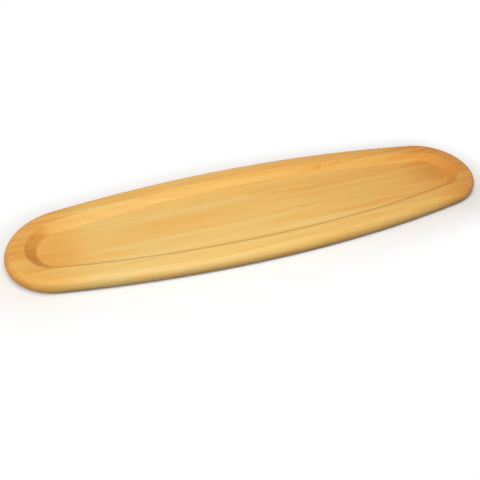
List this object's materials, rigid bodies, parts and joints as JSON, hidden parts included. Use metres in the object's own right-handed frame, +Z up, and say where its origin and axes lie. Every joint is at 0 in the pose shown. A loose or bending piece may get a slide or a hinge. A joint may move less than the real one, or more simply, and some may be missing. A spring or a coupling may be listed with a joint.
{
  "type": "oval serving board",
  "caption": "Long oval wooden serving board of edge-glued staves, with rounded edges and a shallow well of sloping walls inside a flat rim, for setting out finger food.",
  "frame": {"origin": "middle of the underside, on the surface that the board rests on", "axes": "+X along the board's length and grain, +Y across it towards the rear rim, +Z up out of the well"},
  "size_m": [0.58, 0.16, 0.018],
  "materials": {
    "oiled_beech": "oiled, satin"
  },
  "bodies": {
    "root": {"front_rim_stave": "oiled_beech", "front_stave": "oiled_beech", "centre_stave": "oiled_beech", "rear_stave": "oiled_beech", "rear_rim_stave": "oiled_beech"}
  },
  "joints": []
}
